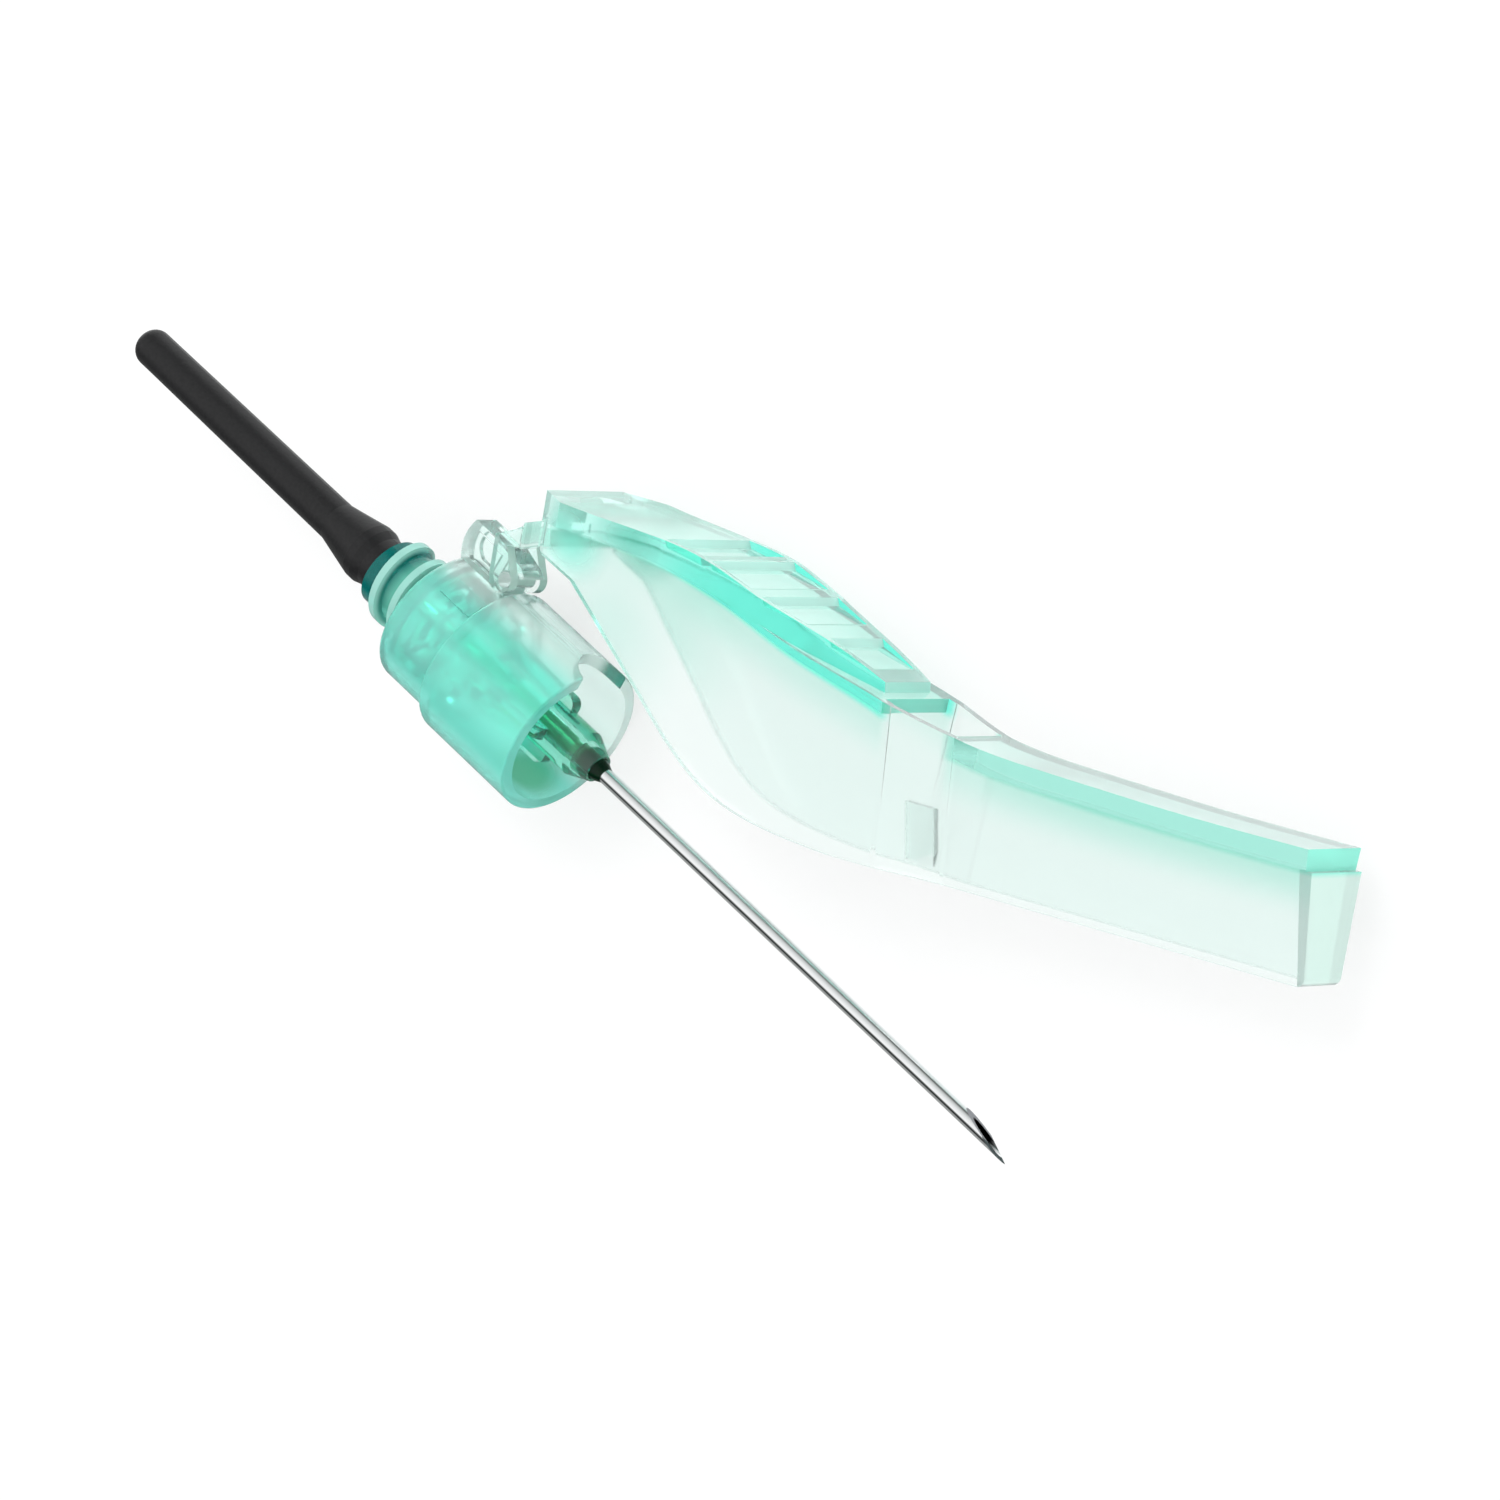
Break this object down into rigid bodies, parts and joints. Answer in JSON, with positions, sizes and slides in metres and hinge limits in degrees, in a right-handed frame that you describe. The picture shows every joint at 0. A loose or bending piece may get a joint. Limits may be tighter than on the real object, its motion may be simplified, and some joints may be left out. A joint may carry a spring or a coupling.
{
  "type": "multi-sample blood collection needle",
  "caption": "Double-ended blood collection needle with a threaded hub, a black tube-needle sleeve and a hinged clear green safety shield.",
  "frame": {"origin": "on the needle axis, at the collar's rear face, where a tube holder seats", "axes": "+X along the needle towards its patient tip, +Y towards the shield's hinge, +Z along the hinge axis, away from the surface it lies on"},
  "size_m": [0.0801, 0.0283, 0.0088],
  "materials": {
    "steel": "bright drawn stainless tube",
    "clear_hub": "clear green moulded plastic",
    "adhesive": "dark green cured adhesive",
    "sleeve_rubber": "matt black elastomer",
    "clear_collar": "clear green moulded plastic",
    "clear_shield": "clear pale green moulded plastic"
  },
  "bodies": {
    "needle": {"cannula": "steel", "hub": "clear_hub", "needle_adhesive": "adhesive", "tube_needle_sleeve": "sleeve_rubber", "collar": "clear_collar"},
    "shield": {"safety_shield": "clear_shield"}
  },
  "joints": [
    {"name": "shield_hinge", "type": "hinge", "parent": "needle", "child": "shield", "pos_m": [0.0034, 0.00475, 0], "axis": [0, 0, 1], "range_deg": [-24.05, 65.95]}
  ]
}
